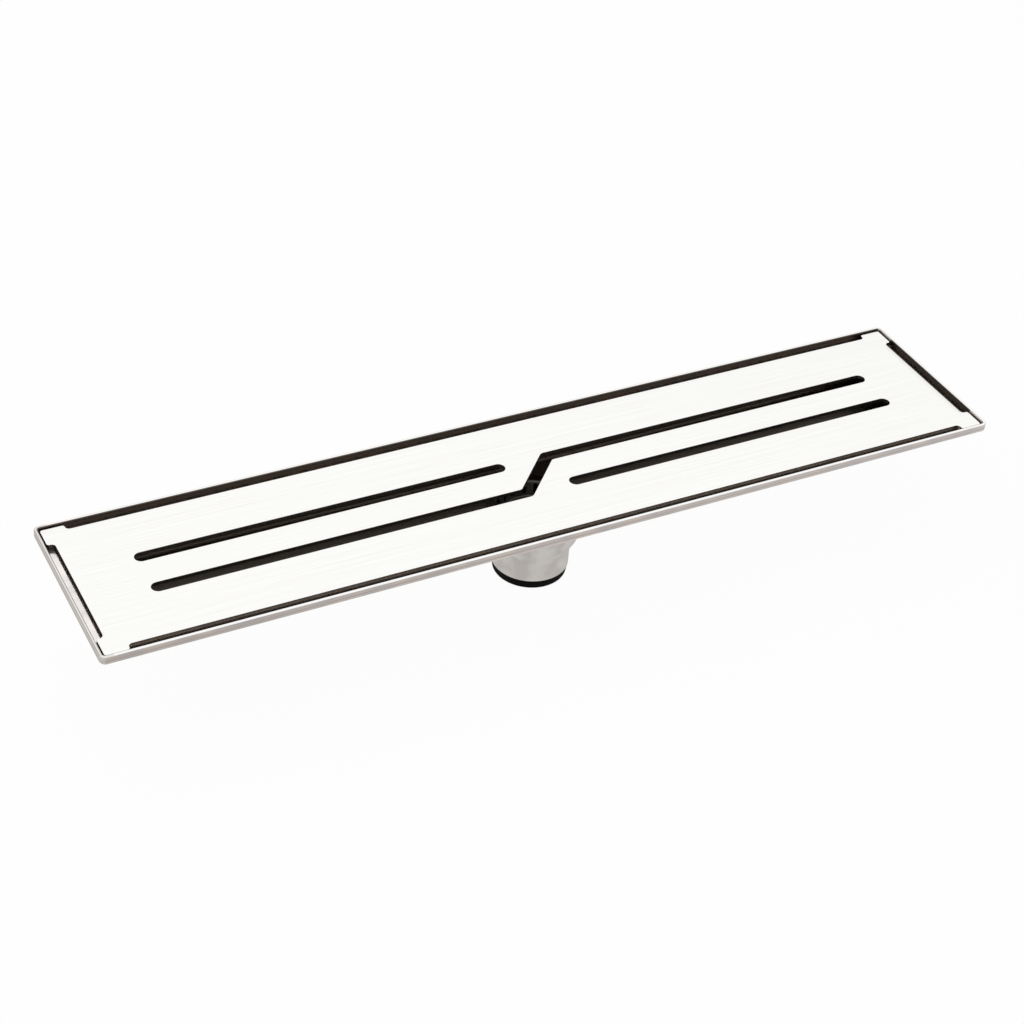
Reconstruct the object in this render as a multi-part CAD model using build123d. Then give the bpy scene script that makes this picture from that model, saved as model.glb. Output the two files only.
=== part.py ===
from build123d import *
from math import atan2, tan
import os

# Linear shower drain: a hemmed steel tray, a slotted lift-out cover, a drawn outlet and a bell trap.
# Millimetres. The origin is on the surface that the drain stands on, below the middle of the outlet.
# +X runs along the tray and +Z points up.

# Tray
tray_length = 610.0
tray_width = 127.0
rim_top = 75.0  # above the surface that the drain stands on
rim_height = 6.0  # rim top to the underside of the flange
sheet = 1.0
hem_gap = 0.2  # between the two layers of the folded rim
hem_lift = 1.0  # the inner layer stops this far above the ledge
corner_radius = 4.0
bend_radius = 1.5
ledge_width = 20.0  # rim to channel wall
channel_end_depth = 19.0  # ledge to floor at both ends
channel_fall = 2.0  # from the ends down to the outlet
level_floor = 88.0  # length of the level floor round the outlet
channel_corner = 8.0
channel_bend = 3.0
floor_hole_radius = 27.5

# Cover
cover_thickness = 2.5
cover_clearance = 1.2  # to the rim, all round
notch_depth = 4.5
notch_radius = 2.5
corner_tab = 15.0
tab_radius = 1.5
edge_break = 0.2
slot_width = 8.6
slot_spacing = 29.5  # between the two rows
slot_reach = 258.6  # outer ends of the slots, from the middle
slot_start = 15.5  # inner ends of the straight slots, from the middle
bend_offset = 14.3  # bends of the Z slot, from the middle
slot_corner_radius = 2.5

# Pads under the cover
pad_radius = 3.5
pad_height = 1.0
pad_pitch = 186.0
pads_per_side = 4

# Outlet neck
neck_wall = 1.0
sump_radius = 30.0
spigot_radius = 25.0
spigot_length = 14.0
shoulder_height = 10.0
shoulder_blend = 15.0  # where the taper leaves the spigot
sump_blend = 3.0  # where the taper meets the sump
weld_flange = 7.0
flange_blend = 2.0

# Rubber ring at the end of the spigot
ring_height = 6.8
ring_inset = 0.1  # its top edge lies inside the spigot by this much
ring_taper = 1.0  # radius lost from its top to its bottom
ring_edge = 1.5
ring_clearance = 0.1  # to the trap cup inside it

# Trap cup with its overflow pipe
cup_clearance = 0.25  # to the neck
cup_wall = 2.0
cup_base = 7.2  # trap floor above the end of the spigot
collar_height = 5.2  # tapered collar above the foot of the shoulder
ring_seat_depth = 2.15  # step that the ring fits in
skirt_lift = 1.0  # lower end above the standing surface
pipe_radius = 11.0
pipe_wall = 1.5
overflow_gap = 4.5  # pipe top to the inside of the bell
cup_blend = 1.2

# Strainer basket
strainer_sheet = 0.8
strainer_flange_radius = 30.5
strainer_mouth_radius = 25.0
strainer_base_radius = 20.0
strainer_depth = 8.7
strainer_bend = 1.5
strainer_slot_count = 18
strainer_slot_width = 3.0
strainer_slot_margin = 1.6  # slot ends to the base and to the flange

# Bell
bell_radius = 17.0
bell_wall = 1.0
bell_blend = 2.5
bell_dip_gap = 5.0  # bell rim above the trap floor

# Lift knob, riveted through basket and bell
knob_radius = 6.0
knob_height = 4.0
knob_edge = 1.6
knob_neck_radius = 3.5
knob_neck_height = 3.6
shank_radius = 2.5
shank_clearance = 0.1
rivet_radius = 4.5
rivet_height = 1.5
rivet_edge = 0.9

# Levels, from the rim down and from the ring up
flange_underside = rim_top - rim_height
ledge_top = flange_underside + sheet
cover_underside = ledge_top + pad_height
floor_at_ends = ledge_top - channel_end_depth
floor_low = floor_at_ends - channel_fall
floor_underside = floor_low - sheet
strainer_top = floor_low + strainer_sheet
strainer_inside = strainer_top - strainer_depth
bell_top = strainer_inside - strainer_sheet
bell_inside = bell_top - bell_wall
pipe_top = bell_inside - overflow_gap
spigot_end = ring_height
shoulder_foot = spigot_end + spigot_length
shoulder_head = shoulder_foot + shoulder_height
trap_floor = spigot_end + cup_base

# Outlines that pieces share
hem = 2 * sheet + hem_gap
hem_round = 0.45 * hem  # the fold is round almost to its middle
inner_length = tray_length - 2 * hem
inner_width = tray_width - 2 * hem
channel_length = inner_length - 2 * ledge_width
channel_width = inner_width - 2 * ledge_width
cover_length = inner_length - 2 * cover_clearance
cover_width = inner_width - 2 * cover_clearance
bell_hole_radius = shank_radius + shank_clearance
ring_seat_radius = spigot_radius - neck_wall - cup_clearance - ring_seat_depth
touch = 0.001  # edges this near to a level count as on it


def slab(length, width, radius, bottom, top):
    # Upright block with rounded corners
    outline = RectangleRounded(length, width, radius)
    return Pos(0, 0, bottom) * extrude(outline, amount=top - bottom)


def edges_at(shape, level):
    return shape.edges().filter_by_position(Axis.Z, level - touch, level + touch)


def edges_within(edges, length, width):
    # Edges whose middles lie inside a centred rectangle
    edges = edges.filter_by_position(Axis.X, -length / 2 - touch, length / 2 + touch)
    return edges.filter_by_position(Axis.Y, -width / 2 - touch, width / 2 + touch)


def turned(profile):
    # Solid of revolution from a face drawn as radius and height
    return revolve(Plane.XZ * profile, Axis.Z)


def sheet_profile(path, thickness, side):
    # Section of a drawn sheet: a path and its parallel, closed into a face
    return make_face(offset(path, amount=thickness, side=side, closed=True))


def round_corners(profile, radius, corners):
    picked = [profile.vertices().sort_by_distance((*corner, 0))[0] for corner in corners]
    return fillet(picked, radius)


def channel_block(length, width, top, drop, corner, bend):
    # Block with a floor that falls from both ends to a level stretch, lowered by drop
    end = floor_at_ends - drop
    low = floor_low - drop
    half = length / 2
    level = level_floor / 2
    left = [(-half, top), (-half, end), (-level, low)]
    right = [(level, low), (half, end), (half, top)]
    side = make_face(Polyline(*left, *right, close=True))
    block = extrude(Plane.XZ * side, amount=width / 2, both=True)
    block = fillet(block.edges().filter_by(Axis.Z), corner)
    creases = block.edges().filter_by(Axis.Y).filter_by_position(Axis.X, -level - touch, level + touch)
    floor_edges = block.edges().filter_by_position(Axis.Z, low - touch, end + touch) - creases
    return fillet(floor_edges, bend)


def make_tray():
    rim = slab(tray_length, tray_width, corner_radius, flange_underside, rim_top)
    rim = fillet(edges_at(rim, flange_underside), bend_radius)
    rim -= slab(inner_length, inner_width, corner_radius - hem, ledge_top, rim_top)
    rim = fillet(edges_at(rim, rim_top), hem_round)
    inside_length = tray_length - 2 * sheet
    inside_width = tray_width - 2 * sheet
    rim -= slab(inside_length, inside_width, corner_radius - sheet, ledge_top, ledge_top + hem_lift)
    shell_length = channel_length + 2 * sheet
    shell_width = channel_width + 2 * sheet
    shell_corner = channel_corner + sheet
    shell = channel_block(shell_length, shell_width, ledge_top, sheet, shell_corner, channel_bend + sheet)
    hollow = channel_block(channel_length, channel_width, rim_top, 0, channel_corner, channel_bend)
    tray = rim + shell - hollow
    mouth = edges_within(edges_at(tray, ledge_top), channel_length, channel_width)
    tray = fillet(mouth, bend_radius)
    return tray - Pos(0, 0, floor_low) * Cylinder(floor_hole_radius, 4 * sheet)


def z_slot():
    # Two straight runs joined by a slanted one, with rounded inner corners
    row = slot_spacing / 2
    run_end = slot_reach - slot_width / 2
    slot = Sketch()
    for start, stop in [
        ((-run_end, -row), (-bend_offset, -row)),
        ((-bend_offset, -row), (bend_offset, row)),
        ((bend_offset, row), (run_end, row)),
    ]:
        middle = (Vector(*start) + Vector(*stop)) / 2
        slot += SlotCenterPoint(middle, stop, slot_width)
    half_turn = atan2(2 * row, 2 * bend_offset) / 2
    inner = slot_width / 2 * tan(half_turn)
    inside = [(-bend_offset - inner, -row + slot_width / 2), (bend_offset + inner, row - slot_width / 2)]
    return round_corners(slot, slot_corner_radius, inside)


def make_cover():
    plate = Rectangle(cover_length, cover_width)
    long_notch = Rectangle(cover_length - 2 * corner_tab, 2 * notch_depth)
    short_notch = Rectangle(2 * notch_depth, cover_width - 2 * corner_tab)
    plate -= [Pos(0, side * cover_width / 2) * long_notch for side in (-1, 1)]
    plate -= [Pos(side * cover_length / 2, 0) * short_notch for side in (-1, 1)]
    notch_x = cover_length / 2 - corner_tab
    notch_y = cover_width / 2 - corner_tab
    inside = []
    outside = []
    for x in (-1, 1):
        for y in (-1, 1):
            inside.append((x * notch_x, y * (cover_width / 2 - notch_depth)))
            inside.append((x * (cover_length / 2 - notch_depth), y * notch_y))
            outside.append((x * notch_x, y * cover_width / 2))
            outside.append((x * cover_length / 2, y * notch_y))
            outside.append((x * cover_length / 2, y * cover_width / 2))
    plate = round_corners(plate, notch_radius, inside)
    plate = round_corners(plate, tab_radius, outside)
    straight = SlotOverall(slot_reach - slot_start, slot_width)
    straight = Pos((slot_reach + slot_start) / 2, -slot_spacing / 2) * straight
    plate -= [straight, Rot(0, 0, 180) * straight, z_slot()]
    cover = Pos(0, 0, cover_underside) * extrude(plate, amount=cover_thickness)
    return fillet(edges_at(cover, cover_underside + cover_thickness), edge_break)


def make_pads():
    ledge_start = channel_width / 2 + bend_radius
    cover_edge = cover_width / 2 - notch_depth
    row = (ledge_start + cover_edge) / 2
    places = GridLocations(pad_pitch, 2 * row, pads_per_side, 2)
    pad = Cylinder(pad_radius, pad_height, align=(Align.CENTER, Align.CENTER, Align.MIN))
    return Compound(children=[Pos(0, 0, ledge_top) * place * pad for place in places])


def make_neck():
    outside = FilletPolyline(
        (spigot_radius, spigot_end),
        (spigot_radius, shoulder_foot),
        (sump_radius, shoulder_head),
        (sump_radius, floor_underside - neck_wall),
        (sump_radius + weld_flange, floor_underside - neck_wall),
        radius=[shoulder_blend, sump_blend, flange_blend],
    )
    return turned(sheet_profile(outside, neck_wall, Side.LEFT))


def make_seal_ring():
    inner = ring_seat_radius + ring_clearance
    top = spigot_radius - ring_inset
    section = make_face(
        Polyline((inner, 0), (top - ring_taper, 0), (top, ring_height), (inner, ring_height), close=True)
    )
    section = round_corners(section, ring_edge, [(top - ring_taper, 0)])
    return turned(section)


def make_trap_cup():
    body = spigot_radius - neck_wall - cup_clearance
    slope = (sump_radius - spigot_radius) / shoulder_height
    half_turn = atan2(sump_radius - spigot_radius, shoulder_height) / 2
    foot = shoulder_foot + (neck_wall + cup_clearance) * tan(half_turn)
    collar_top = shoulder_foot + collar_height
    collar = body + slope * (collar_top - foot)
    bore = body - cup_wall
    web = trap_floor - cup_wall
    skirt_bore = ring_seat_radius - cup_wall
    pipe_bore = pipe_radius - pipe_wall
    section = make_face(
        Polyline(
            (skirt_bore, skirt_lift),
            (ring_seat_radius, skirt_lift),
            (ring_seat_radius, spigot_end),
            (body, spigot_end),
            (body, foot),
            (collar, collar_top),
            (bore, collar_top),
            (bore, trap_floor),
            (pipe_radius, trap_floor),
            (pipe_radius, pipe_top),
            (pipe_bore, pipe_top),
            (pipe_bore, web),
            (skirt_bore, web),
            close=True,
        )
    )
    section = round_corners(section, cup_blend, [(bore, trap_floor), (pipe_radius, trap_floor)])
    section = round_corners(section, cup_blend, [(skirt_bore, web), (pipe_bore, web)])
    return turned(section)


def make_strainer():
    inside = FilletPolyline(
        (bell_hole_radius, strainer_inside),
        (strainer_base_radius, strainer_inside),
        (strainer_mouth_radius, strainer_top),
        (strainer_flange_radius, strainer_top),
        radius=[strainer_bend, strainer_bend + strainer_sheet],
    )
    basket = turned(sheet_profile(inside, strainer_sheet, Side.RIGHT))
    height = strainer_depth - 2 * strainer_slot_margin
    middle = strainer_inside + strainer_depth / 2
    opening = SlotOverall(height, strainer_slot_width, rotation=90)
    slot = extrude(Plane.YZ * opening, amount=strainer_flange_radius)
    for place in PolarLocations(0, strainer_slot_count):
        basket -= Pos(0, 0, middle) * place * slot
    return basket


def make_bell():
    outside = FilletPolyline(
        (bell_hole_radius, bell_top),
        (bell_radius, bell_top),
        (bell_radius, trap_floor + bell_dip_gap),
        radius=bell_blend,
    )
    return turned(sheet_profile(outside, bell_wall, Side.RIGHT))


def make_knob():
    rivet_bottom = bell_inside - rivet_height
    knob_foot = strainer_inside + knob_neck_height
    knob_top = knob_foot + knob_height
    section = make_face(
        Polyline(
            (0, rivet_bottom),
            (rivet_radius, rivet_bottom),
            (rivet_radius, bell_inside),
            (shank_radius, bell_inside),
            (shank_radius, strainer_inside),
            (knob_neck_radius, strainer_inside),
            (knob_neck_radius, knob_foot),
            (knob_radius, knob_foot),
            (knob_radius, knob_top),
            (0, knob_top),
            close=True,
        )
    )
    section = round_corners(section, rivet_edge, [(rivet_radius, rivet_bottom)])
    section = round_corners(section, knob_edge, [(knob_radius, knob_foot), (knob_radius, knob_top)])
    return turned(section)


os.makedirs("parts", exist_ok=True)
export_step(make_tray(), "parts/channel_tray.step")
export_step(make_cover(), "parts/cover_plate.step")
export_step(make_pads(), "parts/cover_pads.step")
export_step(make_neck(), "parts/outlet_neck.step")
export_step(make_seal_ring(), "parts/outlet_seal_ring.step")
export_step(make_trap_cup(), "parts/trap_cup.step")
export_step(make_strainer(), "parts/hair_strainer.step")
export_step(make_bell(), "parts/trap_bell.step")
export_step(make_knob(), "parts/lift_knob.step")
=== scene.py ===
import math

import bmesh
import bpy
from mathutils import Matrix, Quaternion, Vector


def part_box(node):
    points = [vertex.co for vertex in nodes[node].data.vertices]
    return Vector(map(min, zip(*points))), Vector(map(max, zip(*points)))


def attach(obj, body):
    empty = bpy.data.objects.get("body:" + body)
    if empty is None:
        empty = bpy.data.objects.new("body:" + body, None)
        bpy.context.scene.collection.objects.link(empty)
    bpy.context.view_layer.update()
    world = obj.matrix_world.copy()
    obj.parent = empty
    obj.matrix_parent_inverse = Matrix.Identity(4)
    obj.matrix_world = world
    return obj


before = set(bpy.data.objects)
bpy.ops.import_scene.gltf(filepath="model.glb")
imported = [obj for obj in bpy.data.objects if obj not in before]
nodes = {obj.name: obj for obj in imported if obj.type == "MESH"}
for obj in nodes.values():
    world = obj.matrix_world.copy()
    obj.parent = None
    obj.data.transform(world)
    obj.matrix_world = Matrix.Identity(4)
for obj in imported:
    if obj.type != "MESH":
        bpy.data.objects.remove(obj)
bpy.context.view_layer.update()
mm = 0.001
white = (1, 1, 1, 1)
falling = (1.0, 0.0)  # for a range whose result falls as its input rises
noiseRange = (0.35, 0.65)  # where most values of a noise lie
print("frame loaded,", len(nodes), "CAD nodes")


# Helpers

def fromHex(code):
    # sRGB hex to the linear colour that the sockets take
    channels = [int(code[i:i + 2], 16) / 255 for i in (1, 3, 5)]
    linear = [c / 12.92 if c <= 0.04045 else ((c + 0.055) / 1.055) ** 2.4 for c in channels]
    return (*linear, 1.0)


def metres(sizes):
    return [size * mm for size in sizes]


def perMetre(*sizes):
    # pattern sizes in millimetres to repeats per metre
    return tuple(1000 / size for size in sizes)


def addNode(tree, kind, settings, links):
    # settings name a property of the node, one of its sockets, or a tuple of sockets with a value for each
    node = tree.nodes.new("ShaderNode" + kind)
    for key, value in settings.items():
        if isinstance(key, tuple):
            for socket, part in zip(key, value):
                node.inputs[socket].default_value = part
        elif isinstance(key, str) and hasattr(node, key):
            setattr(node, key, value)
        else:
            node.inputs[key].default_value = value
    for key, source in links.items():
        tree.links.new(source, node.inputs[key])
    return node


def startMaterial(name):
    material = bpy.data.materials.new(name)
    material.use_nodes = True
    tree = material.node_tree
    place = addNode(tree, "TexCoord", {}, {}).outputs["Object"]  # metres, in the drain's own frame
    return material, tree, tree.nodes["Principled BSDF"], place


def setShader(tree, shader, values, links):
    for name, value in values.items():
        shader.inputs[name].default_value = value
    for name, source in links.items():
        tree.links.new(source, shader.inputs[name])


def sortRays(tree):
    # what the camera sees directly, and what it sees in the metal
    path = addNode(tree, "LightPath", {}, {}).outputs
    mirrored = addNode(
        tree, "Math", {"operation": "MAXIMUM"}, {0: path["Is Glossy Ray"], 1: path["Is Transmission Ray"]}
    ).outputs[0]
    return path["Is Camera Ray"], mirrored


# Metals; lengths are in mm, and a turn is one part of a face's normal, from -1 to 1

satinCover = {
    "faceTones": ("#FFFFFC", "#FCFBF9"),  # plate, and the shade of its hairlines
    "streakRange": (0.35, 0.7),
    "edgeTones": ("#6C635A", "#85796F"),  # punched, and painted lighter along the long sides; both partly the cut's own tone and partly painted shade
    "edgeTurn": (0.25, 0.7),  # from an edge to a flat face
    "edgeShare": (0.35, 0.75),  # what the cut marks add to the edge's tone, and its least share
    # painted shade tint for the edges' reflection, which keeps them dark at a glancing look
    "edgeShadeTint": "#595149",
    "lighterSideFrom": 50,  # where the painted lighter tone of the long sides starts, from the middle line
    "paintedCornerShade": "#2F2A26",  # painted shade at the ends of the end notches
    "cornerFrom": 285,  # from the middle
    "cornerTurn": (0.4, 0.8),
    "plateRoughness": (0.21, 0.27),
    "grainRange": (0.3, 0.7),
    "edgeRoughness": 0.42,
    "hairline": (110, 1.3, 1.3),  # length and width; real ones are 0.1 wide, too fine to show
    "hairlineHeight": 0.03,
    "waviness": (140, 70, 70),
    "wavinessHeight": 0.02,
    "cutMark": (0.6, 0.6, 12),  # real ones are 0.2 apart
    "cutMarkHeight": 0.003,
    "rollDown": 0.34,  # how far the punch drew the end notches' edges down
    "rollCurve": 2.0,
    "rollReach": (292.8, 297.1),  # from the middle of the cover
    "rollSide": (42, 45.5),
    "rollTurn": 0.9,  # on the cover's top only
}


def satinPolishedStainless(look):
    # Belt-polished 304 plate: pale mirror-like sheen, faint hairlines along it, cut edges in a brownish
    # tone that is partly their own and partly painted shade, painted lighter along the long sides, kept
    # dark at a glancing look by a painted shade tint in their reflection, painted darkest in the corners,
    # and end notches that the punch drew down
    material, tree, shader, place = startMaterial("stainlessSatinPolished")
    normal = addNode(tree, "NewGeometry", {}, {}).outputs["Normal"]
    facing = addNode(tree, "SeparateXYZ", {}, {0: normal}).outputs
    flatness = addNode(tree, "Math", {"operation": "ABSOLUTE"}, {0: facing["Z"]}).outputs[0]
    edge = addNode(tree, "MapRange", {(1, 2): look["edgeTurn"], (3, 4): falling}, {0: flatness}).outputs[0]

    along = addNode(tree, "Mapping", {"Scale": perMetre(*look["hairline"])}, {0: place}).outputs[0]
    hairline = addNode(
        tree, "TexNoise", {"Scale": 1.0, "Detail": 3.0, "Roughness": 0.65}, {0: along}
    ).outputs[0]
    broad = addNode(tree, "Mapping", {"Scale": perMetre(*look["waviness"])}, {0: place}).outputs[0]
    wave = addNode(tree, "TexNoise", {"Scale": 1.0, "Detail": 1.0}, {0: broad}).outputs[0]
    down = addNode(tree, "Mapping", {"Scale": perMetre(*look["cutMark"])}, {0: place}).outputs[0]
    cutMark = addNode(tree, "TexNoise", {"Scale": 1.0, "Detail": 2.0}, {0: down}).outputs[0]

    grain = addNode(
        tree, "MapRange", {(1, 2): look["grainRange"], (3, 4): look["plateRoughness"]}, {0: hairline}
    ).outputs[0]
    rough = addNode(tree, "Mix", {3: look["edgeRoughness"]}, {0: edge, 2: grain}).outputs[0]

    # cut edges: their own brownish tone with painted shade, painted lighter along the long sides, and
    # painted darkest in the corners
    parts = addNode(tree, "SeparateXYZ", {}, {0: place}).outputs
    reachX = addNode(tree, "Math", {"operation": "ABSOLUTE"}, {0: parts["X"]}).outputs[0]
    reachY = addNode(tree, "Math", {"operation": "ABSOLUTE"}, {0: parts["Y"]}).outputs[0]
    edgeShade = addNode(
        tree, "Math", {"operation": "MULTIPLY_ADD", (1, 2): look["edgeShare"]}, {0: cutMark}
    ).outputs[0]
    edgeMix = addNode(
        tree, "Math", {"operation": "MULTIPLY", "use_clamp": True}, {0: edge, 1: edgeShade}
    ).outputs[0]
    sheared = addNode(
        tree, "Math", {"operation": "GREATER_THAN", 1: look["lighterSideFrom"] * mm}, {0: reachY}
    ).outputs[0]
    straight = addNode(
        tree, "Mix", {"data_type": "RGBA", (6, 7): map(fromHex, look["edgeTones"])}, {0: sheared}
    ).outputs[2]
    crosswise = addNode(tree, "Math", {"operation": "ABSOLUTE"}, {0: facing["Y"]}).outputs[0]
    notchEnd = addNode(tree, "MapRange", {(1, 2): look["cornerTurn"]}, {0: crosswise}).outputs[0]
    outermost = addNode(
        tree, "Math", {"operation": "GREATER_THAN", 1: look["cornerFrom"] * mm}, {0: reachX}
    ).outputs[0]
    corner = addNode(tree, "Math", {"operation": "MULTIPLY"}, {0: notchEnd, 1: outermost}).outputs[0]
    bare = addNode(
        tree, "Mix", {"data_type": "RGBA", 7: fromHex(look["paintedCornerShade"])}, {0: corner, 6: straight}
    ).outputs[2]
    streak = addNode(tree, "MapRange", {(1, 2): look["streakRange"]}, {0: hairline}).outputs[0]
    face = addNode(
        tree, "Mix", {"data_type": "RGBA", (6, 7): map(fromHex, look["faceTones"])}, {0: streak}
    ).outputs[2]
    colour = addNode(tree, "Mix", {"data_type": "RGBA"}, {0: edgeMix, 6: face, 7: bare}).outputs[2]
    # painted shade in the edges' reflection: a dark tint keeps them dark at a glancing look
    glance = addNode(
        tree, "Mix", {"data_type": "RGBA", 6: white, 7: fromHex(look["edgeShadeTint"])}, {0: edge}
    ).outputs[2]

    # height of the surface, from the broadest form to the finest
    nearEnd = addNode(tree, "MapRange", {(1, 2): metres(look["rollReach"])}, {0: reachX}).outputs[0]
    bent = addNode(tree, "Math", {"operation": "POWER", 1: look["rollCurve"]}, {0: nearEnd}).outputs[0]
    inNotch = addNode(
        tree, "MapRange", {(1, 2): metres(look["rollSide"]), (3, 4): (-1.0, 0.0)}, {0: reachY}
    ).outputs[0]
    sunk = addNode(tree, "Math", {"operation": "MULTIPLY"}, {0: bent, 1: inNotch}).outputs[0]
    onTop = addNode(
        tree, "Math", {"operation": "GREATER_THAN", 1: look["rollTurn"]}, {0: facing["Z"]}
    ).outputs[0]
    rolled = addNode(
        tree, "Bump", {"Distance": look["rollDown"] * mm}, {"Height": sunk, "Strength": onTop}
    ).outputs[0]
    soft = addNode(
        tree, "Bump", {"Distance": look["wavinessHeight"] * mm}, {"Height": wave, "Normal": rolled}
    ).outputs[0]
    brushed = addNode(
        tree, "Bump", {"Distance": look["hairlineHeight"] * mm}, {"Height": hairline, "Normal": soft}
    ).outputs[0]
    cut = addNode(
        tree, "Bump", {"Distance": look["cutMarkHeight"] * mm},
        {"Height": cutMark, "Normal": brushed, "Strength": edge},
    ).outputs[0]

    setShader(tree, shader, {"Metallic": 1.0}, {
        "Base Color": colour, "Roughness": rough, "Specular Tint": glance, "Normal": cut,
    })
    return material


brightTray = {
    "sheetTones": ("#F8F1EB", "#DFDDDF"),  # bright, and dull where it is hazy
    "dullRange": (0.4, 0.65),
    "roughness": (0.10, 0.17),
    "rollLine": (180, 1.2, 1.2),  # real ones are 0.3 wide
    "rollLineHeight": 0.0004,
    "waviness": (90, 30, 30),
    "wavinessHeight": 0.008,
    "haze": 16,
    "hazeShare": 0.6,  # the rest is rolling lines
    "endTurn": 0.6,  # at least, for a face across an end
    "sideReach": 25,  # the plane of a side is at least this far from the axis
    "upTurn": 0.3,  # at least, for a floor, ledge or top
    "downTurn": -0.5,  # at most, for the underside
    "wallTurn": (0.75, 0.92),  # from a wall to a level face
    "inside": (283.3, 41.8),  # half length and half width of the channel
    "mouth": (67.5, 69.5),  # height at which the channel's finish ends
    "pickled": ("#A0968D", "#7D746C"),  # on the channel's floor, and painted darker on its walls as shade in the recess
    "pickledRoughness": 0.42,
    "rimTopHighlightAndShade": ("#FEFDFB", "#E8E3DF"),  # the rim's top, buffed and painted whiter as a highlight, and its left end, painted darker as shade
    "rimTopAbove": 73.6,
    "rimTopTurn": (0.45, 0.8),
    "leftShadeBefore": -297,
    "oxide": "#6B6058",  # dull skin left on the long ledges, where the cover hides them
    "oxideBand": (44, 55.6),  # from the middle line
    "foldShade": ("#49413B", "#6A6058"),  # painted shade on the rim's inner faces, at the foot and at the top of the fold
    "foldShadeReach": (70, 74.6),
    "rubbed": "#DDD7D1",  # end faces of the rim beside the cover's corner tabs, left pale without the painted shade
    "unshadedEndFrom": 46,  # from the middle line
    "seam": "#E0D9D4",  # thread of shadow where the rim's outer layer ends
    "seamAt": (71.8, 0.5),  # height and half width
    "tintBelow": 59.5,
    "straw": "#C8A66E",  # heat tint round the neck's weld, under the floor
    "strawShare": 0.55,
    "strawReach": (38, 45),
    "blue": "#7F8899",
    "blueShare": 0.4,
    "blueReach": (41, 44.5, 49),
}


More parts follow.
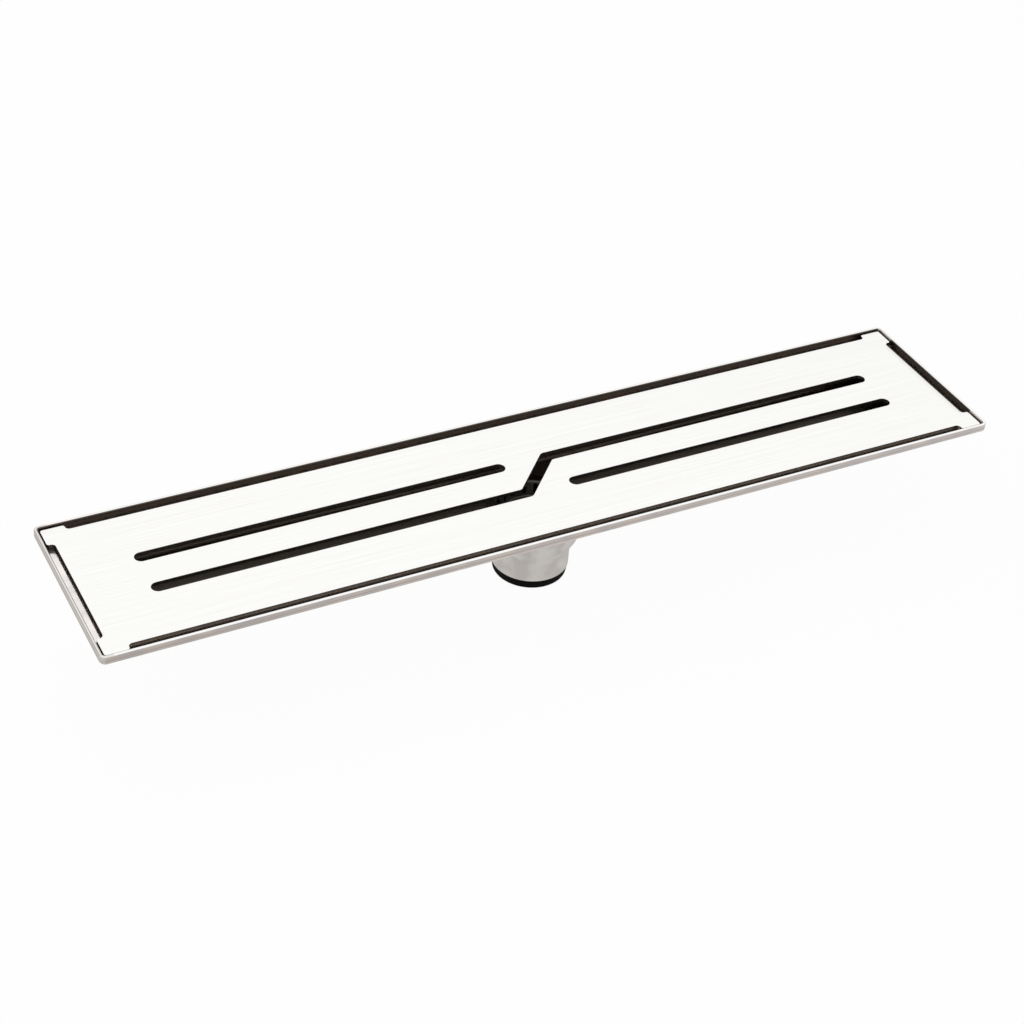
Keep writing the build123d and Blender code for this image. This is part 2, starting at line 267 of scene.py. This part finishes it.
def coldRolledStainless(look):
    # Bright cold-rolled 304 sheet: warm grey mirror with faint rolling lines along it and hazy patches,
    # and a rim top buffed and painted white as a highlight, with painted shade at its left end. The
    # channel, where no polishing wheel reaches, is dull pickled grey, painted darker on its walls as shade;
    # the rim's inner faces, also dull, carry painted brown shade in the fold, and the long ledges dull
    # oxide.
    # Under the floor, straw and blue heat tint rings the neck's weld.
    material, tree, shader, place = startMaterial("stainlessColdRolled")
    parts = addNode(tree, "SeparateXYZ", {}, {0: place}).outputs
    normal = addNode(tree, "NewGeometry", {}, {}).outputs["Normal"]
    facing = addNode(tree, "SeparateXYZ", {}, {0: normal}).outputs
    endOn = addNode(tree, "Math", {"operation": "ABSOLUTE"}, {0: facing["X"]}).outputs[0]
    isEnd = addNode(tree, "Math", {"operation": "GREATER_THAN", 1: look["endTurn"]}, {0: endOn}).outputs[0]

    # rolling lines run on round the ends
    turned = addNode(tree, "CombineXYZ", {}, {0: parts["Y"], 1: parts["X"], 2: parts["Z"]}).outputs[0]
    run = addNode(tree, "Mix", {"data_type": "VECTOR"}, {0: isEnd, 4: place, 5: turned}).outputs[1]
    along = addNode(tree, "Mapping", {"Scale": perMetre(*look["rollLine"])}, {0: run}).outputs[0]
    rollLine = addNode(
        tree, "TexNoise", {"Scale": 1.0, "Detail": 3.0, "Roughness": 0.6}, {0: along}
    ).outputs[0]
    broad = addNode(tree, "Mapping", {"Scale": perMetre(*look["waviness"])}, {0: place}).outputs[0]
    wave = addNode(tree, "TexNoise", {"Scale": 1.0, "Detail": 1.0}, {0: broad}).outputs[0]
    haze = addNode(
        tree, "TexNoise", {"Scale": perMetre(look["haze"])[0], "Detail": 4.0}, {0: place}
    ).outputs[0]

    # the channel's lining, and the rim's inner faces
    halfLength, halfWidth = metres(look["inside"])
    reachX = addNode(tree, "Math", {"operation": "ABSOLUTE"}, {0: parts["X"]}).outputs[0]
    reachY = addNode(tree, "Math", {"operation": "ABSOLUTE"}, {0: parts["Y"]}).outputs[0]
    withinX = addNode(tree, "Math", {"operation": "LESS_THAN", 1: halfLength}, {0: reachX}).outputs[0]
    withinY = addNode(tree, "Math", {"operation": "LESS_THAN", 1: halfWidth}, {0: reachY}).outputs[0]
    lowDown = addNode(
        tree, "MapRange", {(1, 2): metres(look["mouth"]), (3, 4): falling}, {0: parts["Z"]}
    ).outputs[0]
    level = addNode(tree, "CombineXYZ", {}, {0: parts["X"], 1: parts["Y"]}).outputs[0]
    outward = addNode(
        tree, "VectorMath", {"operation": "DOT_PRODUCT"}, {0: normal, 1: level}
    ).outputs["Value"]
    inward = addNode(
        tree, "Math", {"operation": "LESS_THAN", 1: -look["sideReach"] * mm}, {0: outward}
    ).outputs[0]
    upward = addNode(
        tree, "Math", {"operation": "GREATER_THAN", 1: look["upTurn"]}, {0: facing["Z"]}
    ).outputs[0]
    lining = addNode(tree, "Math", {"operation": "MAXIMUM"}, {0: inward, 1: upward}).outputs[0]
    within = addNode(tree, "Math", {"operation": "MULTIPLY"}, {0: withinX, 1: withinY}).outputs[0]
    deep = addNode(tree, "Math", {"operation": "MULTIPLY"}, {0: lowDown, 1: lining}).outputs[0]
    channel = addNode(tree, "Math", {"operation": "MULTIPLY"}, {0: within, 1: deep}).outputs[0]
    flatness = addNode(tree, "Math", {"operation": "ABSOLUTE"}, {0: facing["Z"]}).outputs[0]
    steep = addNode(tree, "MapRange", {(1, 2): look["wallTurn"], (3, 4): falling}, {0: flatness}).outputs[0]
    innerFace = addNode(tree, "Math", {"operation": "MULTIPLY"}, {0: inward, 1: steep}).outputs[0]
    unpolished = addNode(tree, "Math", {"operation": "MAXIMUM"}, {0: channel, 1: innerFace}).outputs[0]

    both = addNode(tree, "Mix", {0: look["hazeShare"]}, {2: rollLine, 3: haze}).outputs[0]
    bright = addNode(
        tree, "MapRange", {(1, 2): noiseRange, (3, 4): look["roughness"]}, {0: both}
    ).outputs[0]
    rough = addNode(tree, "Mix", {3: look["pickledRoughness"]}, {0: unpolished, 2: bright}).outputs[0]
    dullness = addNode(tree, "MapRange", {(1, 2): look["dullRange"]}, {0: both}).outputs[0]
    sheet = addNode(
        tree, "Mix", {"data_type": "RGBA", (6, 7): map(fromHex, look["sheetTones"])}, {0: dullness}
    ).outputs[2]

    # top of the rim: painted highlight, with painted shade at its left end
    high = addNode(
        tree, "Math", {"operation": "GREATER_THAN", 1: look["rimTopAbove"] * mm}, {0: parts["Z"]}
    ).outputs[0]
    flatTop = addNode(tree, "MapRange", {(1, 2): look["rimTopTurn"]}, {0: facing["Z"]}).outputs[0]
    wheeled = addNode(tree, "Math", {"operation": "MULTIPLY"}, {0: high, 1: flatTop}).outputs[0]
    atLeft = addNode(
        tree, "Math", {"operation": "LESS_THAN", 1: look["leftShadeBefore"] * mm}, {0: parts["X"]}
    ).outputs[0]
    # painted highlight on the rim's top, and painted shade at its left end
    rimTop = addNode(
        tree, "Mix", {"data_type": "RGBA", (6, 7): map(fromHex, look["rimTopHighlightAndShade"])}, {0: atLeft}
    ).outputs[2]
    buffed = addNode(tree, "Mix", {"data_type": "RGBA"}, {0: wheeled, 6: sheet, 7: rimTop}).outputs[2]

    # oxide on the long ledges, which isn't metallic
    start, end = metres(look["oxideBand"])
    ledgeSide = addNode(
        tree, "Math", {"operation": "COMPARE", 1: (start + end) / 2, 2: (end - start) / 2}, {0: reachY}
    ).outputs[0]
    lowTop = addNode(
        tree, "Math", {"operation": "SUBTRACT", "use_clamp": True}, {0: upward, 1: high}
    ).outputs[0]
    oxide = addNode(tree, "Math", {"operation": "MULTIPLY"}, {0: ledgeSide, 1: lowTop}).outputs[0]
    metal = addNode(tree, "Math", {"operation": "SUBTRACT", 0: 1.0}, {1: oxide}).outputs[0]
    skinned = addNode(
        tree, "Mix", {"data_type": "RGBA", 7: fromHex(look["oxide"])}, {0: oxide, 6: buffed}
    ).outputs[2]

    # painted brown shade on the rim's inner faces in the fold, left off beside the corner tabs
    rise = addNode(tree, "MapRange", {(1, 2): metres(look["foldShadeReach"])}, {0: parts["Z"]}).outputs[0]
    scale = addNode(
        tree, "Mix", {"data_type": "RGBA", (6, 7): map(fromHex, look["foldShade"])}, {0: rise}
    ).outputs[2]
    byTab = addNode(
        tree, "Math", {"operation": "GREATER_THAN", 1: look["unshadedEndFrom"] * mm}, {0: reachY}
    ).outputs[0]
    rubbed = addNode(tree, "Math", {"operation": "MULTIPLY"}, {0: isEnd, 1: byTab}).outputs[0]
    fold = addNode(
        tree, "Mix", {"data_type": "RGBA", 7: fromHex(look["rubbed"])}, {0: rubbed, 6: scale}
    ).outputs[2]
    folded = addNode(tree, "Mix", {"data_type": "RGBA"}, {0: innerFace, 6: skinned, 7: fold}).outputs[2]

    # painted shadow along the hem's seam, then the channel, its walls painted darker as shade
    line = addNode(
        tree, "Math", {"operation": "COMPARE", (1, 2): metres(look["seamAt"])}, {0: parts["Z"]}
    ).outputs[0]
    outer = addNode(
        tree, "Math", {"operation": "GREATER_THAN", 1: look["sideReach"] * mm}, {0: outward}
    ).outputs[0]
    seam = addNode(tree, "Math", {"operation": "MULTIPLY"}, {0: line, 1: outer}).outputs[0]
    hemmed = addNode(
        tree, "Mix", {"data_type": "RGBA", 7: fromHex(look["seam"])}, {0: seam, 6: folded}
    ).outputs[2]
    # the channel's pickled grey, with its walls painted darker as shade
    pickled = addNode(
        tree, "Mix", {"data_type": "RGBA", (6, 7): map(fromHex, look["pickled"])}, {0: inward}
    ).outputs[2]
    lined = addNode(tree, "Mix", {"data_type": "RGBA"}, {0: channel, 6: hemmed, 7: pickled}).outputs[2]

    # heat tint
    downward = addNode(
        tree, "Math", {"operation": "LESS_THAN", 1: look["downTurn"]}, {0: facing["Z"]}
    ).outputs[0]
    below = addNode(
        tree, "Math", {"operation": "LESS_THAN", 1: look["tintBelow"] * mm}, {0: parts["Z"]}
    ).outputs[0]
    under = addNode(tree, "Math", {"operation": "MULTIPLY"}, {0: downward, 1: below}).outputs[0]
    radius = addNode(tree, "VectorMath", {"operation": "LENGTH"}, {0: level}).outputs["Value"]
    strawBand = addNode(
        tree, "MapRange", {(1, 2): metres(look["strawReach"]), 3: look["strawShare"], 4: 0.0}, {0: radius}
    ).outputs[0]
    straw = addNode(tree, "Math", {"operation": "MULTIPLY"}, {0: strawBand, 1: under}).outputs[0]
    near, middle, far = metres(look["blueReach"])
    rising = addNode(tree, "MapRange", {1: near, 2: middle, 4: look["blueShare"]}, {0: radius}).outputs[0]
    fading = addNode(tree, "MapRange", {1: middle, 2: far, (3, 4): falling}, {0: radius}).outputs[0]
    blueBand = addNode(tree, "Math", {"operation": "MULTIPLY"}, {0: rising, 1: fading}).outputs[0]
    blue = addNode(tree, "Math", {"operation": "MULTIPLY"}, {0: blueBand, 1: under}).outputs[0]
    warmed = addNode(
        tree, "Mix", {"data_type": "RGBA", 7: fromHex(look["straw"])}, {0: straw, 6: lined}
    ).outputs[2]
    colour = addNode(
        tree, "Mix", {"data_type": "RGBA", 7: fromHex(look["blue"])}, {0: blue, 6: warmed}
    ).outputs[2]

    soft = addNode(tree, "Bump", {"Distance": look["wavinessHeight"] * mm}, {"Height": wave}).outputs[0]
    rolled = addNode(
        tree, "Bump", {"Distance": look["rollLineHeight"] * mm}, {"Height": rollLine, "Normal": soft}
    ).outputs[0]

    setShader(tree, shader, {}, {
        "Base Color": colour, "Metallic": metal, "Roughness": rough, "Normal": rolled,
    })
    return material


drawnNeck = {
    "tones": ("#EBE9E6", "#DAD6D2"),  # bright and dull
    "dullRange": (0.38, 0.62),
    "roughness": (0.26, 0.36),
    "blotch": 11,
    "blotchHeight": 0.05,
    "drawLine": (0.9, 0.9, 40),  # real ones are 0.2 apart
    "drawLineHeight": 0.004,
    "drawLineShare": 0.3,  # in the roughness; the rest is blotches
}


def deepDrawnStainless(look):
    # Deep-drawn 304: satin, with uneven blotchy reflections and faint draw lines down its wall
    material, tree, shader, place = startMaterial("stainlessDeepDrawn")
    blotch = addNode(
        tree, "TexNoise", {"Scale": perMetre(look["blotch"])[0], "Detail": 2.5, "Roughness": 0.45},
        {0: place},
    ).outputs[0]
    down = addNode(tree, "Mapping", {"Scale": perMetre(*look["drawLine"])}, {0: place}).outputs[0]
    drawLine = addNode(tree, "TexNoise", {"Scale": 1.0, "Detail": 2.0}, {0: down}).outputs[0]

    both = addNode(tree, "Mix", {0: look["drawLineShare"]}, {2: blotch, 3: drawLine}).outputs[0]
    rough = addNode(
        tree, "MapRange", {(1, 2): noiseRange, (3, 4): look["roughness"]}, {0: both}
    ).outputs[0]
    dullness = addNode(tree, "MapRange", {(1, 2): look["dullRange"]}, {0: blotch}).outputs[0]
    colour = addNode(
        tree, "Mix", {"data_type": "RGBA", (6, 7): map(fromHex, look["tones"])}, {0: dullness}
    ).outputs[2]
    uneven = addNode(tree, "Bump", {"Distance": look["blotchHeight"] * mm}, {"Height": blotch}).outputs[0]
    lined = addNode(
        tree, "Bump", {"Distance": look["drawLineHeight"] * mm}, {"Height": drawLine, "Normal": uneven}
    ).outputs[0]

    setShader(tree, shader, {"Metallic": 1.0}, {
        "Base Color": colour, "Roughness": rough, "Normal": lined,
    })
    return material


spunBasket = {
    "name": "stainlessSpunShaded",
    "tones": ("#7A7570", "#625D58"),  # bright and dull, both darkened as painted shade deep in the channel
    "dullRange": (0.4, 0.7),
    "roughness": (0.36, 0.50),
    "ring": 0.7,  # polishing rings are really 0.2 apart
    "ringHeight": 0.006,
}
turnedKnob = {
    "name": "stainlessTurned",
    "tones": ("#D6D4D0", "#BBB8B2"),
    "dullRange": (0.4, 0.7),
    "roughness": (0.15, 0.28),
    "ring": 0.45,  # lathe lines are really 0.15 apart
    "ringHeight": 0.010,
}


def ringedStainless(look):
    # Spun or turned 304: fine rings round the axis, left by the polishing cloth or the lathe tool,
    # dark grey on the basket and its bell as painted shade deep in the channel, and bright on the knob
    material, tree, shader, place = startMaterial(look["name"])
    parts = addNode(tree, "SeparateXYZ", {}, {0: place}).outputs
    level = addNode(tree, "CombineXYZ", {}, {0: parts["X"], 1: parts["Y"]}).outputs[0]
    reach = addNode(tree, "VectorMath", {"operation": "LENGTH"}, {0: level}).outputs["Value"]
    rolled = addNode(tree, "CombineXYZ", {}, {0: reach, 1: parts["Z"]}).outputs[0]
    ring = addNode(
        tree, "TexNoise", {"Scale": perMetre(look["ring"])[0], "Detail": 2.0}, {0: rolled}
    ).outputs[0]

    rough = addNode(
        tree, "MapRange", {(1, 2): noiseRange, (3, 4): look["roughness"]}, {0: ring}
    ).outputs[0]
    dullness = addNode(tree, "MapRange", {(1, 2): look["dullRange"]}, {0: ring}).outputs[0]
    colour = addNode(
        tree, "Mix", {"data_type": "RGBA", (6, 7): map(fromHex, look["tones"])}, {0: dullness}
    ).outputs[2]
    ringed = addNode(tree, "Bump", {"Distance": look["ringHeight"] * mm}, {"Height": ring}).outputs[0]

    setShader(tree, shader, {"Metallic": 1.0}, {
        "Base Color": colour, "Roughness": rough, "Normal": ringed,
    })
    return material


# Rubber and plastic

mouldedRubber = {
    "name": "rubberMoulded",
    "tones": ("#090807", "#100F0E"),  # dark, and worn paler
    "wornRange": (0.42, 0.72),
    "roughness": (0.55, 0.72),
    "cloud": 9,
    "grit": 0.45,  # really 0.1
    "gritHeight": 0.020,
    "ior": 1.52,
    "gloss": 0.05,  # specular level, where 0.5 is all that the IOR gives
}
cutRubber = {
    "name": "rubberCutSheet",
    "tones": ("#161514", "#2A2826"),
    "wornRange": (0.42, 0.72),
    "roughness": (0.62, 0.82),
    "cloud": 5,
    "grit": 0.40,  # really 0.15
    "gritHeight": 0.035,
    "ior": 1.52,
    "gloss": 0.3,
}
mouldedCup = {
    "name": "polypropyleneMoulded",
    "tones": ("#141414", "#222121"),
    "wornRange": (0.42, 0.72),
    "roughness": (0.34, 0.48),
    "cloud": 14,
    "grit": 0.50,  # spark-eroded grain of the mould, really 0.08
    "gritHeight": 0.012,
    "ior": 1.49,
    "gloss": 0.5,
}


def blackMoulding(look):
    # Black rubber or polypropylene: matt, with fine grit and paler cloudy bloom where it has been handled
    material, tree, shader, place = startMaterial(look["name"])
    cloud = addNode(
        tree, "TexNoise", {"Scale": perMetre(look["cloud"])[0], "Detail": 4.0}, {0: place}
    ).outputs[0]
    grit = addNode(
        tree, "TexNoise", {"Scale": perMetre(look["grit"])[0], "Detail": 1.0}, {0: place}
    ).outputs[0]

    bloom = addNode(tree, "MapRange", {(1, 2): look["wornRange"]}, {0: cloud}).outputs[0]
    colour = addNode(
        tree, "Mix", {"data_type": "RGBA", (6, 7): map(fromHex, look["tones"])}, {0: bloom}
    ).outputs[2]
    rough = addNode(
        tree, "MapRange", {(1, 2): noiseRange, (3, 4): look["roughness"]}, {0: cloud}
    ).outputs[0]
    gritty = addNode(tree, "Bump", {"Distance": look["gritHeight"] * mm}, {"Height": grit}).outputs[0]

    setShader(tree, shader, {"IOR": look["ior"], "Specular IOR Level": look["gloss"]}, {
        "Base Color": colour, "Roughness": rough, "Normal": gritty,
    })
    return material


# dark spun steel: painted shade for the strainer and bell deep in the channel
strainerSteel = ringedStainless(spunBasket)
finishes = {
    "cover_plate": satinPolishedStainless(satinCover),
    "channel_tray": coldRolledStainless(brightTray),
    "outlet_neck": deepDrawnStainless(drawnNeck),
    "hair_strainer": strainerSteel,
    "trap_bell": strainerSteel,
    "lift_knob": ringedStainless(turnedKnob),
    "outlet_seal_ring": blackMoulding(mouldedRubber),
    "cover_pads": blackMoulding(cutRubber),
    "trap_cup": blackMoulding(mouldedCup),
}
for name, finish in finishes.items():
    nodes[name].data.materials.clear()
    nodes[name].data.materials.append(finish)
print("finishes on", len(finishes), "nodes")


# Weld bead round the neck's flange, under the tray floor

neckBead = {
    "radialLeg": 1.5,
    "downLeg": 1.15,
    "sink": 0.12,  # how far it lies in the two sheets that it joins
    "ripplePitch": 1.5,
    "rippleDepth": 0.16,
    "rippleLevel": 0.6,  # share of the depth that is taken off all round
    "rippleSweep": 0.45,  # ripples trail by this share of the pitch at the bead's edges
    "wander": ((0.05, 5, 1), (0.04, 11, 0)),  # uneven hand: share of the size, waves round it, and phase
    "stepsPerRipple": 6,
    "sectionSteps": 10,
}


def makeNeckBead(bead):
    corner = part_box("outlet_neck")[1]
    radius = corner.x / mm
    level = corner.z / mm
    ripples = round(2 * math.pi * radius / bead["ripplePitch"])
    steps = ripples * bead["stepsPerRipple"]
    mesh = bmesh.new()
    rings = []
    for step in range(steps):
        turn = 2 * math.pi * step / steps
        size = 1
        for share, waves, phase in bead["wander"]:
            size += share * math.sin(waves * turn + phase)
        section = [(radius - bead["sink"], level + bead["sink"])]
        for i in range(bead["sectionSteps"] + 1):
            across = i / bead["sectionSteps"]
            angle = across * math.pi / 2
            trail = bead["rippleSweep"] * (2 * across - 1) ** 2
            ripple = math.sin(math.pi * ((step / bead["stepsPerRipple"] - trail) % 1))
            swell = size + bead["rippleDepth"] * (ripple - bead["rippleLevel"])
            out = bead["radialLeg"] * swell * math.sin(angle) - bead["sink"] * math.cos(angle)
            down = bead["downLeg"] * swell * math.cos(angle) - bead["sink"] * math.sin(angle)
            section.append((radius + out, level - down))
        rings.append([
            mesh.verts.new((r * math.cos(turn) * mm, r * math.sin(turn) * mm, z * mm)) for r, z in section
        ])
    for one, two in zip(rings, rings[1:] + rings[:1]):
        for i in range(len(one)):
            j = (i + 1) % len(one)
            mesh.faces.new((one[i], one[j], two[j], two[i]))
    bmesh.ops.recalc_face_normals(mesh, faces=mesh.faces)
    for face in mesh.faces:
        face.smooth = True
    data = bpy.data.meshes.new("neckBead")
    mesh.to_mesh(data)
    mesh.free()
    piece = bpy.data.objects.new("neckBead", data)
    bpy.context.scene.collection.objects.link(piece)
    return piece


beadSteel = {
    "tones": ("#CFCBC4", "#B79B6C"),  # silver and straw
    "tint": 16,
    "tintRange": (0.45, 0.7),
    "tintShare": 0.6,
    "roughness": (0.22, 0.42),
    "pit": 0.5,  # really 0.1
    "pitHeight": 0.015,
}


def weldedStainless(look):
    # Gas-shielded weld metal: silvery, with patches of straw heat tint and a fine frosty skin
    material, tree, shader, place = startMaterial("stainlessWeldBead")
    tint = addNode(
        tree, "TexNoise", {"Scale": perMetre(look["tint"])[0], "Detail": 3.0}, {0: place}
    ).outputs[0]
    pit = addNode(
        tree, "TexNoise", {"Scale": perMetre(look["pit"])[0], "Detail": 1.0}, {0: place}
    ).outputs[0]

    share = addNode(
        tree, "MapRange", {(1, 2): look["tintRange"], 4: look["tintShare"]}, {0: tint}
    ).outputs[0]
    colour = addNode(
        tree, "Mix", {"data_type": "RGBA", (6, 7): map(fromHex, look["tones"])}, {0: share}
    ).outputs[2]
    rough = addNode(
        tree, "MapRange", {(1, 2): noiseRange, (3, 4): look["roughness"]}, {0: pit}
    ).outputs[0]
    frosted = addNode(tree, "Bump", {"Distance": look["pitHeight"] * mm}, {"Height": pit}).outputs[0]

    setShader(tree, shader, {"Metallic": 1.0}, {
        "Base Color": colour, "Roughness": rough, "Normal": frosted,
    })
    return material


bead = makeNeckBead(neckBead)
bead.data.materials.append(weldedStainless(beadSteel))
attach(bead, "root")
print("weld bead made,", len(bead.data.polygons), "faces")


# Floor, world and lamps

floorLook = {
    "size": 8.0,  # metres
    "card": "#F4F4F3",
    "roughness": 0.9,
    "cameraWhite": 0.96,  # share of plain white that the camera sees; the rest keeps the shadow
    "mirrorTones": ("#BAB5B2", "#D5D3D2"),  # glowing greys painted into the metal's reflection of it, from left to right
    "mirrorReach": (-300, 900),
    "mirrorShare": 0.95,
    "endReflection": "#CBCBC7",  # painted reflection tone beyond the drain's left end
    "endReach": (-345, -310),
    "outletReflection": "#D5D3D1",  # a paler painted reflection under the outlet
    "outletReach": (95, 135),
}


def makeFloor(look):
    # Pale paper card: matt and white to the camera, glowing in soft greys to the metal as a painted
    # reflection, and not there from below
    half = look["size"] / 2
    corners = [(-half, -half, 0), (half, -half, 0), (half, half, 0), (-half, half, 0)]
    data = bpy.data.meshes.new("floor")
    data.from_pydata(corners, [], [(0, 1, 2, 3)])
    floor = bpy.data.objects.new("floor", data)
    bpy.context.scene.collection.objects.link(floor)

    material, tree, shader, place = startMaterial("floorPaperCard")
    setShader(tree, shader, {
        "Base Color": fromHex(look["card"]), "Roughness": look["roughness"], "Specular IOR Level": 0.0,
    }, {})
    across = addNode(tree, "SeparateXYZ", {}, {0: place}).outputs["X"]
    share = addNode(tree, "MapRange", {(1, 2): metres(look["mirrorReach"])}, {0: across}).outputs[0]
    shade = addNode(
        tree, "Mix", {"data_type": "RGBA", (6, 7): map(fromHex, look["mirrorTones"])}, {0: share}
    ).outputs[2]
    beyond = addNode(
        tree, "MapRange", {(1, 2): metres(look["endReach"]), (3, 4): falling}, {0: across}
    ).outputs[0]
    ended = addNode(
        tree, "Mix", {"data_type": "RGBA", 7: fromHex(look["endReflection"])}, {0: beyond, 6: shade}
    ).outputs[2]
    radius = addNode(tree, "VectorMath", {"operation": "LENGTH"}, {0: place}).outputs["Value"]
    under = addNode(
        tree, "MapRange", {(1, 2): metres(look["outletReach"]), (3, 4): falling}, {0: radius}
    ).outputs[0]
    carded = addNode(
        tree, "Mix", {"data_type": "RGBA", 7: fromHex(look["outletReflection"])}, {0: under, 6: ended}
    ).outputs[2]

    seen, mirrored = sortRays(tree)
    toneShare = addNode(
        tree, "Math", {"operation": "MULTIPLY", 1: look["mirrorShare"]}, {0: mirrored}
    ).outputs[0]
    whiteShare = addNode(
        tree, "Math", {"operation": "MULTIPLY", 1: look["cameraWhite"]}, {0: seen}
    ).outputs[0]
    # the metal's reflection of the floor is a painted glow in these tones
    tone = addNode(tree, "Emission", {"Strength": 1.0}, {"Color": carded}).outputs[0]
    plain = addNode(tree, "Emission", {"Color": white, "Strength": 1.0}, {}).outputs[0]
    inMetal = addNode(tree, "MixShader", {}, {0: toneShare, 1: shader.outputs[0], 2: tone}).outputs[0]
    lit = addNode(tree, "MixShader", {}, {0: whiteShare, 1: inMetal, 2: plain}).outputs[0]
    clear = addNode(tree, "BsdfTransparent", {}, {}).outputs[0]
    below = addNode(tree, "NewGeometry", {}, {}).outputs["Backfacing"]
    both = addNode(tree, "MixShader", {}, {0: below, 1: lit, 2: clear}).outputs[0]
    tree.links.new(both, tree.nodes["Material Output"].inputs["Surface"])
    data.materials.append(material)


makeFloor(floorLook)
print("floor laid,", floorLook["size"], "m square")

studio = {
    "ambient": 0.62,  # what lights the floor and the rubber
    "level": (0.55, 1.0),  # the studio dims towards the horizon, as the metal sees it
    "dimBelow": 33,  # degrees of elevation
    "flagTone": "#C4C0BD",  # a dark card that the metal mirrors
    "flagTowards": (-0.55, 0.62, 0.53),
    "flagReach": (26, 12),  # degrees from its middle, faded and full
}


def makeWorld(look):
    world = bpy.data.worlds.new("studio")
    bpy.context.scene.world = world
    world.use_nodes = True
    tree = world.node_tree
    dim = tree.nodes["Background"]
    setShader(tree, dim, {"Color": white, "Strength": look["ambient"]}, {})
    plain = addNode(tree, "Background", {"Color": white, "Strength": 1.0}, {}).outputs[0]

    way = addNode(tree, "TexCoord", {}, {}).outputs["Generated"]
    rise = addNode(tree, "SeparateXYZ", {}, {0: way}).outputs["Z"]
    full = math.sin(math.radians(look["dimBelow"]))
    level = addNode(tree, "MapRange", {1: 0.0, 2: full, (3, 4): look["level"]}, {0: rise}).outputs[0]
    middle = Vector(look["flagTowards"]).normalized()
    near = addNode(tree, "VectorMath", {"operation": "DOT_PRODUCT", 1: middle}, {0: way}).outputs["Value"]
    reach = [math.cos(math.radians(angle)) for angle in look["flagReach"]]
    shade = addNode(
        tree, "MapRange", {"interpolation_type": "SMOOTHSTEP", (1, 2): reach}, {0: near}
    ).outputs[0]
    tone = addNode(
        tree, "Mix", {"data_type": "RGBA", 6: white, 7: fromHex(look["flagTone"])}, {0: shade}
    ).outputs[2]
    walls = addNode(tree, "Background", {}, {"Color": tone, "Strength": level}).outputs[0]

    seen, mirrored = sortRays(tree)
    inMetal = addNode(tree, "MixShader", {}, {0: mirrored, 1: dim.outputs[0], 2: walls}).outputs[0]
    both = addNode(tree, "MixShader", {}, {0: seen, 1: inMetal, 2: plain}).outputs[0]
    tree.links.new(both, tree.nodes["World Output"].inputs["Surface"])


makeWorld(studio)

lamps = [
    {
        "name": "overheadSoftbox",
        "place": (-300, 900, 1500),  # mm
        "aim": (0, 0, 60),
        "size": (1800, 1400),
        "power": 8,  # watts
    },
    {
        "name": "sideFill",
        "place": (-1500, -700, 900),
        "aim": (0, 0, 60),
        "size": (1800, 1800),
        "power": 6,
    },
]


def hangLamp(lamp):
    data = bpy.data.lights.new(lamp["name"], "AREA")
    data.shape = "RECTANGLE"
    data.size, data.size_y = metres(lamp["size"])
    data.energy = lamp["power"]
    holder = bpy.data.objects.new(lamp["name"], data)
    holder.location = Vector(lamp["place"]) * mm
    holder.rotation_mode = "QUATERNION"
    holder.rotation_quaternion = (Vector(lamp["aim"]) - Vector(lamp["place"])).to_track_quat("-Z", "Y")
    holder.visible_glossy = False  # the metal mirrors the studio's walls alone
    bpy.context.scene.collection.objects.link(holder)


for lamp in lamps:
    hangLamp(lamp)
print("studio lit by", len(lamps), "lamps")


# Camera, as the photograph was taken

cameraSetup = {
    "place": (-551.82, -933.63, 875.34),  # mm
    "aim": (-20.38, -7.89, 55.0),
    "roll": 4.843,  # degrees
    "lens": 75.503,  # mm
    "sensor": 36.0,
    "clip": (0.05, 50.0),  # metres
}


def placeCamera(setup):
    data = bpy.data.cameras.new("camera")
    data.lens = setup["lens"]
    data.sensor_width = setup["sensor"]
    data.clip_start, data.clip_end = setup["clip"]
    camera = bpy.data.objects.new("camera", data)
    camera.location = Vector(setup["place"]) * mm
    camera.rotation_mode = "QUATERNION"
    aimed = (Vector(setup["aim"]) - Vector(setup["place"])).to_track_quat("-Z", "Y")
    camera.rotation_quaternion = aimed @ Quaternion((0, 0, 1), math.radians(setup["roll"]))
    bpy.context.scene.collection.objects.link(camera)
    bpy.context.scene.camera = camera


placeCamera(cameraSetup)
bpy.context.scene.view_settings.view_transform = "Standard"
print("camera placed")
